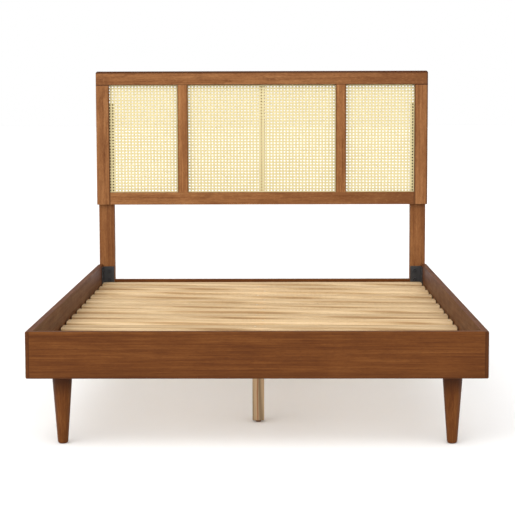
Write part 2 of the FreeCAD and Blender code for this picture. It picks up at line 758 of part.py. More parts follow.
# Ledgers, corner blocks and tapered legs
ledger = board(
    "ledger_blank", ("-(rail_inner)", "block_back", "ledger_bottom"),
    ("-(ledger_inner)", "post_front", "slat_bottom"),
)
dress(ledger, "Fillet", "slat_round", "right bottom")
ledger_left = machine(
    "ledger_left", ledger,
    holes("long_screw", left(ledger_screw_spots)),
    holes("long_screw", [spot for pair in slat_end_spots[1:] for spot in left(pair)]),
)
mirror_right(ledger_left, "ledger_right")

block = board(
    "block_blank", ("-(rail_inner)", "foot_inner", "block_bottom"),
    ("-(block_inner)", "block_back", "slat_bottom"),
)
dress(block, "Fillet", "edge_round", "right back")
nut_recess = doc.addObject("Part::Cylinder", "nut_recess")
bind(nut_recess, Radius="nut_recess_width / 2", Height="nut_recess")
place(nut_recess, "-(leg_axis_x)", "leg_axis_y", "slat_bottom - nut_recess")
block_left = machine(
    "leg_block_left", block, [nut_recess],
    holes("hanger_bolt", left(leg_bolt_spots)),
    holes("dowel", left(joint_dowels["block"])),
    holes("long_screw", left(slat_end_spots[0])),
)
mirror_right(block_left, "leg_block_right")

leg = turned("leg_blank", [
    (0, 0), ("leg_tip_width / 2", 0), ("leg_top_width / 2", "block_bottom"), (0, "block_bottom"),
])
dress(leg, "Fillet", "leg_tip_round", "bottom bottom")
place(leg, "-(leg_axis_x)", "leg_axis_y", 0)
leg_left = machine("tapered_leg_left", leg, holes("hanger_bolt", left(leg_bolt_spots)))
mirror_right(leg_left, "tapered_leg_right")

# Centre beam, its support legs and their levelling feet
beam = board(
    "beam_blank", ("-beam_width / 2", "foot_inner + beam_end_gap", "beam_bottom"),
    ("beam_width / 2", "post_front - beam_end_gap", "slat_bottom"),
)
dress(beam, "Chamfer", "support_chamfer", "left bottom", "right bottom")
machine(
    "centre_beam", beam,
    holes("support_bolt", support_bolt_spots),
    holes("long_screw", slat_centre_spots),
)

for where, number, y in (("front", 0, "support_y"), ("rear", 1, "-(support_y)")):
    support = board(
        f"support_{where}_blank", ("-support_width / 2", f"{y} - support_width / 2", "support_bottom"),
        ("support_width / 2", f"{y} + support_width / 2", "beam_bottom"),
    )
    dress(
        support, "Chamfer", "support_chamfer", "left bottom", "right bottom", "front bottom",
        "back bottom", "left front", "right front", "left back", "right back",
    )
    stud_hole = doc.addObject("Part::Cylinder", f"stud_hole_{where}")
    bind(stud_hole, Radius="(bolt_width + bolt_clearance) / 2", Height="foot_stud_length + foot_stud_gap")
    place(stud_hole, 0, y, "support_bottom")
    machine(
        f"support_leg_{where}", support, [stud_hole],
        holes("insert", [support_top_insert_spots[number], support_foot_insert_spots[number]]),
    )

    levelling_foot = turned(f"foot_{where}", [
        (0, 0), ("foot_base_width / 2", 0), ("foot_top_width / 2", "foot_taper_height"),
        ("foot_top_width / 2", "foot_height"), ("bolt_width / 2", "foot_height"),
        ("bolt_width / 2", "foot_height + foot_stud_length"), (0, "foot_height + foot_stud_length"),
    ])
    place(levelling_foot, 0, y, 0)
    finish(f"levelling_foot_{where}", levelling_foot)

# Slats
for number in range(SLAT_COUNT):
    near = f"slat_start + {number} * slat_pitch"
    slat = board(
        f"slat_blank_{number + 1:02d}", ("-(rail_inner - slat_end_gap)", near, "slat_bottom"),
        ("rail_inner - slat_end_gap", f"{near} + slat_width", "slat_top"),
    )
    dress(slat, "Fillet", "slat_round", "front top", "back top", "front bottom", "back bottom")
    machine(
        f"slat_{number + 1:02d}", slat,
        holes("long_screw", slat_end_spots[number] + [slat_centre_spots[number]]),
    )

# Steel angle brackets at the four corners
for where, corner, way in (("foot", "foot_inner", 1), ("head", "post_front", -1)):
    long_arm = f"{corner} + {way} * bracket_long_arm"
    plate = f"{corner} + {way} * bracket_plate"
    bracket = prism(
        f"{where}_bracket_blank", "XY_Plane",
        [("-(rail_inner)", corner), ("-(rail_inner)", long_arm),
         ("-(rail_inner - bracket_plate)", long_arm), ("-(rail_inner - bracket_plate)", plate),
         ("-(rail_inner - bracket_short_arm)", plate), ("-(rail_inner - bracket_short_arm)", corner)],
        "bracket_height", "bracket_bottom",
    )
    dress(
        bracket, "Fillet", "bracket_bend + bracket_plate",
        "left front" if where == "foot" else "left back",
    )
    screw_spots = foot_bracket_screw_spots if where == "foot" else head_bracket_screw_spots
    bolt_spots = foot_bolt_spots if where == "foot" else head_bolt_spots
    bracket_left = machine(
        f"{where}_bracket_left", bracket,
        holes("bracket_bolt", left(bolt_spots)), holes("short_screw", left(screw_spots)),
    )
    mirror_right(bracket_left, f"{where}_bracket_right")

# Beam hangers: a U under the beam's end with a wing on each side
OUTER = "hanger_half + hanger_plate"
for where, y, turn, screw_spots in (
    ("foot", "foot_inner", 0, foot_hanger_screw_spots),
    ("head", "post_front", 180, head_hanger_screw_spots),
):
    hanger = prism(
        f"{where}_hanger_blank", "XY_Plane",
        [(f"-({OUTER})", 0), (OUTER, 0), (OUTER, "hanger_depth"), (f"-({OUTER})", "hanger_depth")],
        "hanger_plate",
    )
    for side in SIDES.values():
        cheek = new_sketch(hanger, "XY_Plane")
        inner, outer = f"{side} * hanger_half", f"{side} * ({OUTER})"
        add_outline(cheek, [(inner, 0), (outer, 0), (outer, "hanger_depth"), (inner, "hanger_depth")])
        pad(hanger, cheek, "beam_height + hanger_plate")
        wing = new_sketch(hanger, "XY_Plane")
        tip = f"{side} * ({OUTER} + hanger_wing)"
        add_outline(wing, [(inner, 0), (tip, 0), (tip, "hanger_plate"), (inner, "hanger_plate")])
        pad(hanger, wing, "beam_height + hanger_plate")
    hanger.Placement.Rotation = FreeCAD.Rotation(Z_AXIS, turn)
    place(hanger, 0, y, "beam_bottom - hanger_plate")
    machine(f"beam_hanger_{where}", hanger, holes("short_screw", screw_spots))

# Fasteners, one group for each kind
finish("dowels", gather("dowel_group", copies(
    masters["dowel"], [spot for spots in joint_dowels.values() for spot in spots]
)))
finish("headboard_bolts", gather("headboard_bolt_group", copies(
    masters["headboard_bolt"], headboard_bolt_spots
)))
finish("support_leg_bolts", gather("support_bolt_group", copies(
    masters["support_bolt"], support_bolt_spots
)))
finish("bracket_bolts", gather("bracket_bolt_group", copies(
    masters["bracket_bolt"], head_bolt_spots + foot_bolt_spots
)))
finish("threaded_inserts", gather("insert_group", copies(
    masters["insert"],
    stile_insert_spots + post_insert_spots + rail_insert_spots + support_top_insert_spots
    + support_foot_insert_spots,
)))
finish("leg_hanger_bolts", gather("hanger_bolt_group", copies(masters["hanger_bolt"], leg_bolt_spots)))
finish("leg_nuts", gather("nut_group", copies(nut, leg_nut_spots)))
finish("short_wood_screws", gather("short_screw_group", copies(
    masters["short_screw"],
    head_bracket_screw_spots + foot_bracket_screw_spots + foot_hanger_screw_spots
    + head_hanger_screw_spots + batten_screw_spots,
)))
finish("long_wood_screws", gather("long_screw_group", copies(
    masters["long_screw"],
    ledger_screw_spots + [spot for pair in slat_end_spots for spot in pair] + slat_centre_spots,
)))

# ---------------------------------------------------------------------------------------------
# Checks and export
# ---------------------------------------------------------------------------------------------

doc.recompute()
for item in doc.Objects:
    faults = {"Invalid", "Error"} & set(item.State)
    if faults:
        raise RuntimeError(f"{item.Label}: {', '.join(sorted(faults))}")

os.makedirs("parts", exist_ok=True)
for item in nodes:
    shape = item.Shape
    if shape.isNull() or not shape.isValid() or not shape.Solids:
        raise RuntimeError(f"{item.Label}: its shape is empty or not valid")
    shape.exportStep(f"parts/{item.Label}.step")
    box = shape.BoundBox
    print(
        f"{item.Label}: {len(shape.Solids)} solid(s), {shape.Volume / 1000:.1f} cm3, "
        f"x {box.XMin:.1f} to {box.XMax:.1f}, y {box.YMin:.1f} to {box.YMax:.1f}, "
        f"z {box.ZMin:.1f} to {box.ZMax:.1f}"
    )
print(f"{len(nodes)} pieces")
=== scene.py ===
"""Looks of the cane-headboard bed frame: stained boards, woven cane, bare pine and steel fittings."""
import math
import random

import bpy
import numpy as np
from mathutils import Matrix, Vector


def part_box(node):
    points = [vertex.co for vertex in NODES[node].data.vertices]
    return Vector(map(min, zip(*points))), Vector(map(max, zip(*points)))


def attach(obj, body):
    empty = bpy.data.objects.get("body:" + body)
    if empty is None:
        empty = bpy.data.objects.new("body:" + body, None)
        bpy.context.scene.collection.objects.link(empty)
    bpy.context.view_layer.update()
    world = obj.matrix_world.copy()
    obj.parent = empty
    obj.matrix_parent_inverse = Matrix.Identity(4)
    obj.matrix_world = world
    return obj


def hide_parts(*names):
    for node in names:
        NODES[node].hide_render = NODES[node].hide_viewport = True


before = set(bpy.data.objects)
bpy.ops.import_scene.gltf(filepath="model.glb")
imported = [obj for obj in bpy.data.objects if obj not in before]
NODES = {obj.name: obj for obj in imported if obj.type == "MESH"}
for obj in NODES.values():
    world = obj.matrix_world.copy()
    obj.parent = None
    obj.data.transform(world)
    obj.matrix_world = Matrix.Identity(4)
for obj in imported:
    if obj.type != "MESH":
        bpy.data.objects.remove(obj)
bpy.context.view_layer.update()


# ---------------------------------------------------------------------------------------------
# Shader writing
# ---------------------------------------------------------------------------------------------


class Value:
    """A number that varies over a surface; arithmetic on it adds Math nodes."""

    def __init__(self, recipe, socket):
        self.recipe = recipe
        self.socket = socket

    def math(self, operation, *others):
        inputs = dict(enumerate((self, *others)))
        return self.recipe.add("ShaderNodeMath", {"operation": operation}, inputs)

    def __add__(self, other):
        return self.math("ADD", other)

    def __mul__(self, other):
        return self.math("MULTIPLY", other)

    def __sub__(self, other):
        return self.math("SUBTRACT", other)

    def __rsub__(self, other):
        inputs = {0: other, 1: self}
        return self.recipe.add("ShaderNodeMath", {"operation": "SUBTRACT"}, inputs)

    def __abs__(self):
        return self.math("ABSOLUTE")

    __radd__ = __add__
    __rmul__ = __mul__


class Recipe:
    """A material, or the surroundings, under construction."""

    def __init__(self, owner):
        self.owner = owner
        owner.use_nodes = True
        self.tree = owner.node_tree

    def plug(self, socket, value):
        """Link a Value to a socket, or set the socket's own number, vector or colour."""
        if isinstance(value, Value):
            self.tree.links.new(value.socket, socket)
        elif isinstance(value, tuple) and len(value) == 3 and socket.type == "RGBA":
            socket.default_value = (*value, 1.0)
        else:
            socket.default_value = value

    def add(self, kind, settings=None, inputs=None, outlet=0):
        """Add one node: its settings first, then the values or links of its sockets."""
        node = self.tree.nodes.new(kind)
        for name, setting in (settings or {}).items():
            if name == "stops":
                self.set_stops(node.color_ramp, setting)
            else:
                setattr(node, name, setting)
        for name, value in (inputs or {}).items():
            self.plug(node.inputs[name], value)
        return Value(self, node.outputs[outlet])

    @staticmethod
    def set_stops(ramp, stops):
        """Colour ramp stops: (place, grey level) or (place, colour)."""
        while len(ramp.elements) < len(stops):
            ramp.elements.new(0.5)
        for element, (spot, colour) in zip(ramp.elements, stops):
            shade = (colour,) * 3 if isinstance(colour, (int, float)) else colour
            element.position = spot
            element.color = (*shade, 1.0)

    def ramp(self, value, *stops):
        return self.add("ShaderNodeValToRGB", {"stops": stops}, {"Fac": value})

    def fade(self, value, none, full, most=1.0):
        """A mask: 0 where the value is at none, the most where it is at full, even between."""
        return self.add("ShaderNodeMapRange", None, {
            "Value": value, "From Min": none, "From Max": full, "To Min": 0.0, "To Max": most,
        })

    def blend(self, share, first, second):
        """Two colours mixed: how much of the second is the share."""
        settings = {"data_type": "RGBA"}
        return self.add("ShaderNodeMix", settings, {0: share, 6: first, 7: second}, outlet=2)

    def place(self):
        """Position on the piece, in metres."""
        return self.add("ShaderNodeTexCoord", outlet=3)

    def axes(self):
        """The position's X, Y and Z as three values."""
        split = self.tree.nodes.new("ShaderNodeSeparateXYZ")
        self.tree.links.new(self.place().socket, split.inputs[0])
        return [Value(self, outlet) for outlet in split.outputs]

    def stretched(self, along, squeeze, shift=(0.0, 0.0, 0.0)):
        """The position with one axis squeezed, so that textures run long along it, and shifted."""
        scale = [squeeze if axis == along else 1.0 for axis in "XYZ"]
        return self.add("ShaderNodeMapping", None, {
            "Vector": self.place(), "Scale": tuple(scale), "Location": tuple(shift),
        })

    def noise(self, vector, scale, detail=2.0, roughness=0.5, distortion=0.0):
        return self.add("ShaderNodeTexNoise", None, {
            "Vector": vector, "Scale": scale, "Detail": detail, "Roughness": roughness,
            "Distortion": distortion,
        })

    def finish(self, colour, roughness, height=None, depth=0.0002, strength=1.0, **fixed):
        """Connect the surface; fixed are the shader's own uniform settings, by socket name."""
        shader = self.tree.nodes["Principled BSDF"]
        self.plug(shader.inputs["Base Color"], colour)
        self.plug(shader.inputs["Roughness"], roughness)
        for name, value in fixed.items():
            self.plug(shader.inputs[name.replace("_", " ")], value)
        if height is not None:
            bump = self.add("ShaderNodeBump", None, {
                "Height": height, "Distance": depth, "Strength": strength,
            })
            self.plug(shader.inputs["Normal"], bump)
        return self.owner


def new_material(name):
    return Recipe(bpy.data.materials.new(name))


# ---------------------------------------------------------------------------------------------
# Wood
# ---------------------------------------------------------------------------------------------

# Stain colours: dark figure, body and light figure. One stain in a lighter copy for the headboard and a
# darker copy for the rails and legs: the difference between them is painted light and shade
STAIN_LIT_COPY = ((0.115, 0.038, 0.011), (0.222, 0.090, 0.030), (0.318, 0.148, 0.056))
STAIN_SHADED_COPY = ((0.061, 0.0155, 0.0026), (0.107, 0.0325, 0.0058), (0.150, 0.052, 0.0115))
MULLION_TINT = (1.12, 1.13, 1.12)
# The posts' darker tint is painted shade: they stand behind the headboard panel
POST_SHADE_TINT = (0.84, 0.78, 0.72)
SIDE_RAIL_TINT = (0.96, 0.92, 0.90)
GLAZE_AND_SHADE = (0.040, 0.010, 0.0020)          # stain gathered in corners, seams and pores, and the colour of the painted shade marks


def tinted(colour, tint):
    return tuple(channel * share for channel, share in zip(colour, tint))


def line(axis, level, reach):
    """A line on a surface where a coordinate is at a level: full within half the reach of it."""
    return (axis, level - reach, level - reach / 2), (axis, level + reach, level + reach / 2)


def stained_wood(name, along, seed, stain, tint=(1.0, 1.0, 1.0), mottle=1.0, marks=(), drift=None):
    """Stained and lacquered close-grained hardwood, its grain running along an axis.

    Each mark is a darker place, a dark joint line or painted shade: its strength, then spans (axis, none,
    full) that it keeps to.
    drift is (axis, light end, dark end, strength): the board darkens slowly along it.
    """
    mix = new_material(name)
    chance = random.Random(seed)
    shift = tuple(chance.uniform(-5, 5) for _ in range(3))
    dark, body, light = (tinted(colour, tint) for colour in stain)
    places = dict(zip("XYZ", mix.axes()))

    figure = mix.noise(mix.stretched(along, 0.035, shift), 62.0, 4.0, 0.55, 0.2)
    streaks = mix.noise(mix.stretched(along, 0.018, shift), 260.0, 4.0, 0.62)
    clouds = mix.noise(mix.stretched(along, 0.38, shift), 24.0, 4.0, 0.62)
    level = figure * 0.34 + streaks * 0.46 + clouds * 0.20
    tone = mix.ramp(level, (0.35, dark), (0.50, body), (0.65, light))

    patches = mix.noise(mix.stretched(along, 0.30, shift), 33.0, 5.0, 0.66, 0.4)
    tone = mix.blend(mix.fade(patches, 0.50, 0.70, 0.55 * mottle), tone, dark)
    if drift:
        axis, start, finish, strength = drift
        darker = mix.fade(places[axis] + (clouds - 0.5) * 0.5, start, finish, strength)
        tone = mix.blend(darker, tone, dark)

    flecks = mix.noise(mix.stretched(along, 0.30, shift), 240.0, 2.0, 0.6)
    tone = mix.blend(mix.fade(flecks, 0.48, 0.32, 0.30 * mottle), tone, dark)
    tone = mix.blend(mix.fade(flecks, 0.55, 0.72, 0.35 * mottle), tone, light)
    fibre = mix.noise(mix.stretched(along, 0.03, shift), 620.0, 2.0, 0.6)
    tone = mix.blend(mix.fade(fibre, 0.47, 0.30, 0.32), tone, tinted(dark, (0.7, 0.6, 0.5)))
    pores = mix.fade(mix.noise(mix.stretched(along, 0.07, shift), 1150.0, 1.0), 0.36, 0.28)
    tone = mix.blend(pores * 0.45, tone, GLAZE_AND_SHADE)

    for strength, *spans in marks:
        cover = strength
        for axis, none, full in spans:
            cover = mix.fade(places[axis], none, full) * cover
        tone = mix.blend(cover, tone, GLAZE_AND_SHADE)
    roughness = mix.ramp(clouds * 0.5 + streaks * 0.5, (0.35, 0.52), (0.65, 0.40))
    height = fibre * 0.5 + streaks * 0.3 - pores * 0.6
    return mix.finish(tone, roughness, height, 0.00018, 0.5,
                      Specular_IOR_Level=0.12, Specular_Tint=(1.0, 0.90, 0.78))


def bare_wood(name, along, seed, light, middle, dark, knots=0.0, seam=None):
    """Planed softwood with growth rings, a few knots and, where given, a reddish glue line."""
    mix = new_material(name)
    chance = random.Random(seed)
    shift = [chance.uniform(-5, 5) for _ in range(3)]
    grain = mix.stretched(along, 0.05, shift)
    rings = mix.add("ShaderNodeTexWave", {"bands_direction": "DIAGONAL"}, {
        "Vector": grain, "Scale": 22.0, "Distortion": 6.0, "Detail": 3.0, "Detail Scale": 0.9,
        "Detail Roughness": 0.55,
    }, outlet=1)
    broad = mix.noise(grain, 16.0, 3.0, 0.5, 0.4)
    tone = mix.ramp(rings * 0.55 + broad * 0.45, (0.22, dark), (0.48, middle), (0.78, light))
    fibre = mix.noise(mix.stretched(along, 0.014, shift), 480.0, 3.0, 0.65)
    tone = mix.blend(mix.ramp(fibre, (0.35, 0.35), (0.55, 0.0)), tone, dark)
    if knots:
        spots = mix.add("ShaderNodeTexVoronoi", {"feature": "F1"}, {
            "Vector": mix.stretched(along, 0.45, shift), "Scale": 7.0, "Randomness": 1.0,
        })
        tone = mix.blend(mix.ramp(spots, (0.035, knots), (0.075, 0.0)), tone, (0.12, 0.045, 0.015))
    if seam is not None:
        axis, level, reach = seam
        coordinate = dict(zip("XYZ", mix.axes()))[axis]
        wander = (mix.noise(mix.stretched(along, 0.5, shift), 30.0) - 0.5) * reach * 2.5
        from_glue = abs(coordinate + wander - level)
        tone = mix.blend(mix.fade(from_glue, reach, reach / 2, 0.8), tone, (0.27, 0.095, 0.035))
    height = fibre * 0.6 + rings * 0.4
    return mix.finish(tone, 0.62, height, 0.0003, 0.5, Specular_IOR_Level=0.3)


def cane_skin(name, seed, light, dark):
    """Glossy natural cane or reed: pale straw with darker flecks."""
    mix = new_material(name)
    chance = random.Random(seed)
    shift = tuple(chance.uniform(-5, 5) for _ in range(3))
    place = mix.add("ShaderNodeMapping", None, {"Vector": mix.place(), "Location": shift})
    broad = mix.noise(place, 9.0, 2.0)
    fleck = mix.noise(place, 260.0, 3.0, 0.6)
    tone = mix.blend(mix.fade(fleck * 0.6 + broad * 0.4, 0.50, 0.30), light, dark)
    roughness = mix.ramp(fleck, (0.3, 0.5), (0.7, 0.34))
    return mix.finish(tone, roughness, fleck, 0.0001, 0.4, Specular_IOR_Level=0.35)


def coated_steel(name, seed, colour, roughness, metallic=0.0, grit=900.0):
    """Steel under powder coat, black oxide or zinc, with a fine grit and faint rubbed patches."""
    mix = new_material(name)
    chance = random.Random(seed)
    shift = tuple(chance.uniform(-5, 5) for _ in range(3))
    place = mix.add("ShaderNodeMapping", None, {"Vector": mix.place(), "Location": shift})
    fine = mix.noise(place, grit, 2.0)
    patches = mix.noise(place, 45.0, 4.0, 0.6)
    tone = mix.blend(mix.ramp(patches, (0.4, 0.0), (0.75, 0.55)), colour, tinted(colour, (1.5, 1.5, 1.5)))
    rough = mix.ramp(patches * 0.6 + fine * 0.4, (0.3, roughness + 0.1), (0.7, roughness - 0.08))
    return mix.finish(tone, rough, fine, 0.00008, 0.5, Metallic=metallic)


def moulded_plastic(name, seed, colour):
    """Brown moulded plastic with a fine spark-eroded skin."""
    mix = new_material(name)
    chance = random.Random(seed)
    shift = tuple(chance.uniform(-5, 5) for _ in range(3))
    place = mix.add("ShaderNodeMapping", None, {"Vector": mix.place(), "Location": shift})
    skin = mix.noise(place, 1400.0, 2.0)
    scuffs = mix.noise(place, 120.0, 4.0, 0.7)
    tone = mix.blend(mix.ramp(scuffs, (0.5, 0.0), (0.8, 0.5)), colour, tinted(colour, (1.8, 1.7, 1.6)))
    return mix.finish(tone, mix.ramp(scuffs, (0.3, 0.5), (0.7, 0.38)), skin, 0.00006, 0.6)


def paint(names, material):
    """Give CAD nodes one material."""
    for name in names:
        piece = NODES[name]
        piece.data.materials.clear()
        piece.data.materials.append(material)


# ---------------------------------------------------------------------------------------------
# Headboard and rails
# ---------------------------------------------------------------------------------------------

LINE = 0.0032           # reach of a joint's dark line on each side
SEAM = 0.0022           # the same at the ends of the foot rail
SHADE = 0.0050          # reach of the painted shade along the edges of the openings
CROWN = 0.0115          # depth of the painted shade along the headboard's top edge
CROWN_BACK = 0.016      # how far back over the top that painted shade goes
EDGE = 0.008            # width of the painted shade down the headboard's right edge, the side turned from the light
TOP_LOW, TOP_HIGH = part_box("headboard_top_rail")
BOTTOM_LOW, BOTTOM_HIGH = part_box("headboard_bottom_rail")
FOOT_LOW, FOOT_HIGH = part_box("foot_rail")
RAIL_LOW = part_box("side_rail_left")[0]
POST_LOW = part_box("headboard_post_left")[0]


def finish_headboard():
    """Boards of the headboard frame: stained along their own length, with thin joint lines and painted shade
    along the openings, the top and right edges and on the posts behind the panel.
    """
    joint = (0.9, *line("Z", TOP_LOW.z, LINE))
    # Painted shade on the rounded top edge of the top rail
    crown_shade = (0.95, ("Z", TOP_HIGH.z - CROWN, TOP_HIGH.z - CROWN / 2),
             ("Y", TOP_LOW.y + CROWN_BACK, TOP_LOW.y + CROWN_BACK / 2))
    # Painted shade on the right outer edge of the top rail and right stile
    right_edge_shade = (0.6, ("X", TOP_HIGH.x - EDGE, TOP_HIGH.x - EDGE / 2))
    paint(["headboard_top_rail"], stained_wood(
        "stain_top_rail", "X", 11, STAIN_LIT_COPY, mottle=1.4, marks=[joint, crown_shade, right_edge_shade],
        drift=("X", 0.15, 0.70, 0.75),
    ))
    seams = [(0.7, *line("X", BOTTOM_LOW.x, LINE)), (0.7, *line("X", BOTTOM_HIGH.x, LINE))]
    paint(["headboard_bottom_rail"], stained_wood(
        "stain_bottom_rail", "X", 12, STAIN_LIT_COPY, marks=seams, drift=("X", 0.05, 0.65, 0.78)
    ))
    # Painted shade on the posts' front faces where they stand behind the panel
    shade_behind_panel = (0.95, ("Y", POST_LOW.y + 0.004, POST_LOW.y + 0.002),
                    ("Z", BOTTOM_LOW.z - 0.001, BOTTOM_LOW.z + 0.001))
    for seed, side, seam in ((13, "left", BOTTOM_LOW.x), (14, "right", BOTTOM_HIGH.x)):
        # The line along each stile's inner edge, at the opening, is painted shade
        marks = [joint, (0.7, *line("X", seam, SHADE)), *([right_edge_shade] if side == "right" else [])]
        paint([f"headboard_stile_{side}"], stained_wood(
            f"stain_stile_{side}", "Z", seed, STAIN_LIT_COPY, marks=marks
        ))
        mullion_low, mullion_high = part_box(f"headboard_mullion_{side}")
        # Painted shade along both edges of the mullion, where it meets the openings
        opening_edge_shade = [(0.6, *line("X", edge, SHADE)) for edge in (mullion_low.x, mullion_high.x)]
        paint([f"headboard_mullion_{side}"], stained_wood(
            f"stain_mullion_{side}", "Z", seed + 2, STAIN_LIT_COPY, MULLION_TINT, marks=opening_edge_shade
        ))
        paint([f"headboard_post_{side}"], stained_wood(
            f"stain_post_{side}", "Z", seed + 4, STAIN_LIT_COPY, POST_SHADE_TINT, marks=[shade_behind_panel]
        ))
    paint(["head_cross_rail"], stained_wood("stain_cross_rail", "X", 19, STAIN_SHADED_COPY))


def finish_rails():
    """Side rails, foot rail and turned legs."""
    for seed, side, seam in ((21, "left", FOOT_LOW.x), (22, "right", FOOT_HIGH.x)):
        # The side rails' front ends are darker as end grain takes more stain; the right end darker still, as
        # painted shade
        end_grain_and_shade = 0.38 if side == "left" else 0.62
        marks = [
            (0.6, *line("X", seam, SEAM), ("Y", FOOT_HIGH.y, FOOT_LOW.y)),
            (end_grain_and_shade, ("Y", RAIL_LOW.y + 0.006, RAIL_LOW.y + 0.003)),
        ]
        paint([f"side_rail_{side}"], stained_wood(
            f"stain_side_rail_{side}", "Y", seed, STAIN_SHADED_COPY, SIDE_RAIL_TINT, marks=marks
        ))
        # Painted shadow on the legs' tops, under the foot rail
        shoulder_shadow = (0.85, ("Z", FOOT_LOW.z - 0.070, FOOT_LOW.z - 0.022))
        paint([f"tapered_leg_{side}"], stained_wood(
            f"stain_tapered_leg_{side}", "Z", seed + 2, STAIN_SHADED_COPY, mottle=0.6, marks=[shoulder_shadow]
        ))
    marks = [
        (0.6, *line("X", FOOT_LOW.x, SEAM)),
        (0.6, *line("X", FOOT_HIGH.x, SEAM)),
        # Painted shade: the foot rail darker towards its bottom edge
        (0.25, ("Z", FOOT_LOW.z + 0.035, FOOT_LOW.z + 0.012)),
        (0.35, ("Z", FOOT_LOW.z + 0.006, FOOT_LOW.z + 0.003)),
    ]
    paint(["foot_rail"], stained_wood("stain_foot_rail", "X", 25, STAIN_SHADED_COPY, mottle=0.5, marks=marks))


# ---------------------------------------------------------------------------------------------
# Woven cane
# ---------------------------------------------------------------------------------------------

PITCH_X = 0.0145        # hole to hole across
PITCH_Z = 0.01304       # hole to hole up
PAIR_GAP = 0.0031       # middle to middle of the two strands of a pair
STRAND = 0.0036         # width of an upright or level strand
DIAGONAL = 0.0038       # width of a diagonal strand
SKIN = 0.0005           # thickness of a strand
WAVE = 0.00022          # rise of a strand over the one that it crosses
DIAGONAL_LIFT = 0.00048 # rise of a diagonal over the pair that it passes
STRAY = 0.00008         # how far a strand may lie out of line
WAVER = 0.00004         # the same from one crossing to the next
FIRST_ROW = 0.0090      # top row of holes below the opening's top edge

# Where a column of holes stands: right of the left opening's outer edge, right of the middle,
# and left of the right opening's outer edge
COLUMN_PLACE = {"left": 0.0150, "centre": 0.0133, "right": 0.0072}

CANE_TONES = ((0.575, 0.495, 0.265), (0.545, 0.455, 0.230))     # the skin and its flecks
REED_TONES = ((0.50, 0.36, 0.17), (0.34, 0.21, 0.09))


def add_ribbon(mesh, points, side, width):
    """A flat strand along points: bevelled towards the front (-Y), flat behind, closed at its ends."""
    base = len(mesh["points"])
    across = np.array((side[0], 0.0, side[1])) * width / 2
    for point in points:
        for share, lift in ((-1.0, -0.5), (-0.5, 0.5), (0.5, 0.5), (1.0, -0.5)):
            mesh["points"].append(point + across * share - np.array((0.0, SKIN * lift, 0.0)))
    for step in range(len(points) - 1):
        here = base + 4 * step
        for corner in range(4):
            following = (corner + 1) % 4
            mesh["faces"].append((here + corner, here + following, here + 4 + following, here + 4 + corner))
    mesh["faces"].append((base, base + 3, base + 2, base + 1))
    last = base + 4 * (len(points) - 1)
    mesh["faces"].append((last, last + 1, last + 2, last + 3))


def grid_lines(first, pitch, low, high):
    """Levels a pitch apart, in line with the first, between low and high."""
    start = first + math.ceil((low - first) / pitch) * pitch
    return [start + pitch * step for step in range(int((high - start) / pitch) + 1)]


def crossings(lines, low, high):
    """Where a strand crosses the two strands of each pair, and its ends."""
    inside = [line + side * PAIR_GAP / 2 for line in lines for side in (-1, 1)]
    return [low, *(spot for spot in inside if low < spot < high), high]


def weave_grid(mesh, chance, columns, rows, low, high, middle):
    """Paired uprights and paired levels, each going over one strand and under the next."""
    for x in columns:
        for order, side in enumerate((-1, 1)):
            start = x + side * PAIR_GAP / 2 + chance.gauss(0.0, STRAY)
            points = [
                np.array((start + chance.gauss(0.0, WAVER), middle + WAVE * (-1) ** (step + order), z))
                for step, z in enumerate(crossings(rows, low.z, high.z))
            ]
            add_ribbon(mesh, points, (1.0, 0.0), STRAND)
    for z in rows:
        for order, side in enumerate((-1, 1)):
            start = z + side * PAIR_GAP / 2 + chance.gauss(0.0, STRAY)
            points = [
                np.array((x, middle - WAVE * (-1) ** (step + order), start + chance.gauss(0.0, WAVER)))
                for step, x in enumerate(crossings(columns, low.x, high.x))
            ]
            add_ribbon(mesh, points, (0.0, 1.0), STRAND)


def weave_diagonals(mesh, chance, columns, rows, low, high, middle):
    """Diagonals pass midway between crossings: one set over the uprights, the other over the levels."""
    length = math.hypot(PITCH_X, PITCH_Z)
    count_x, count_z = len(columns) + 2, len(rows) + 2
    for slope in (1, -1):
        across = (-slope * PITCH_Z / length, PITCH_X / length)
        first = -count_z if slope > 0 else -2
        for number in range(first, first + count_x + count_z + 2):
            offset = chance.gauss(0.0, STRAY)
            points = []
            for half in range(-4, 2 * count_z):
                rise = half / 2
                x = columns[0] + (number + 0.5 + slope * rise) * PITCH_X + across[0] * offset
                z = rows[0] + rise * PITCH_Z + across[1] * offset
                over = slope if half % 2 else -slope
                if low.x <= x <= high.x and low.z <= z <= high.z:
                    points.append(np.array((x, middle - DIAGONAL_LIFT * over, z)))
            if len(points) > 1:
                add_ribbon(mesh, points, across, DIAGONAL)


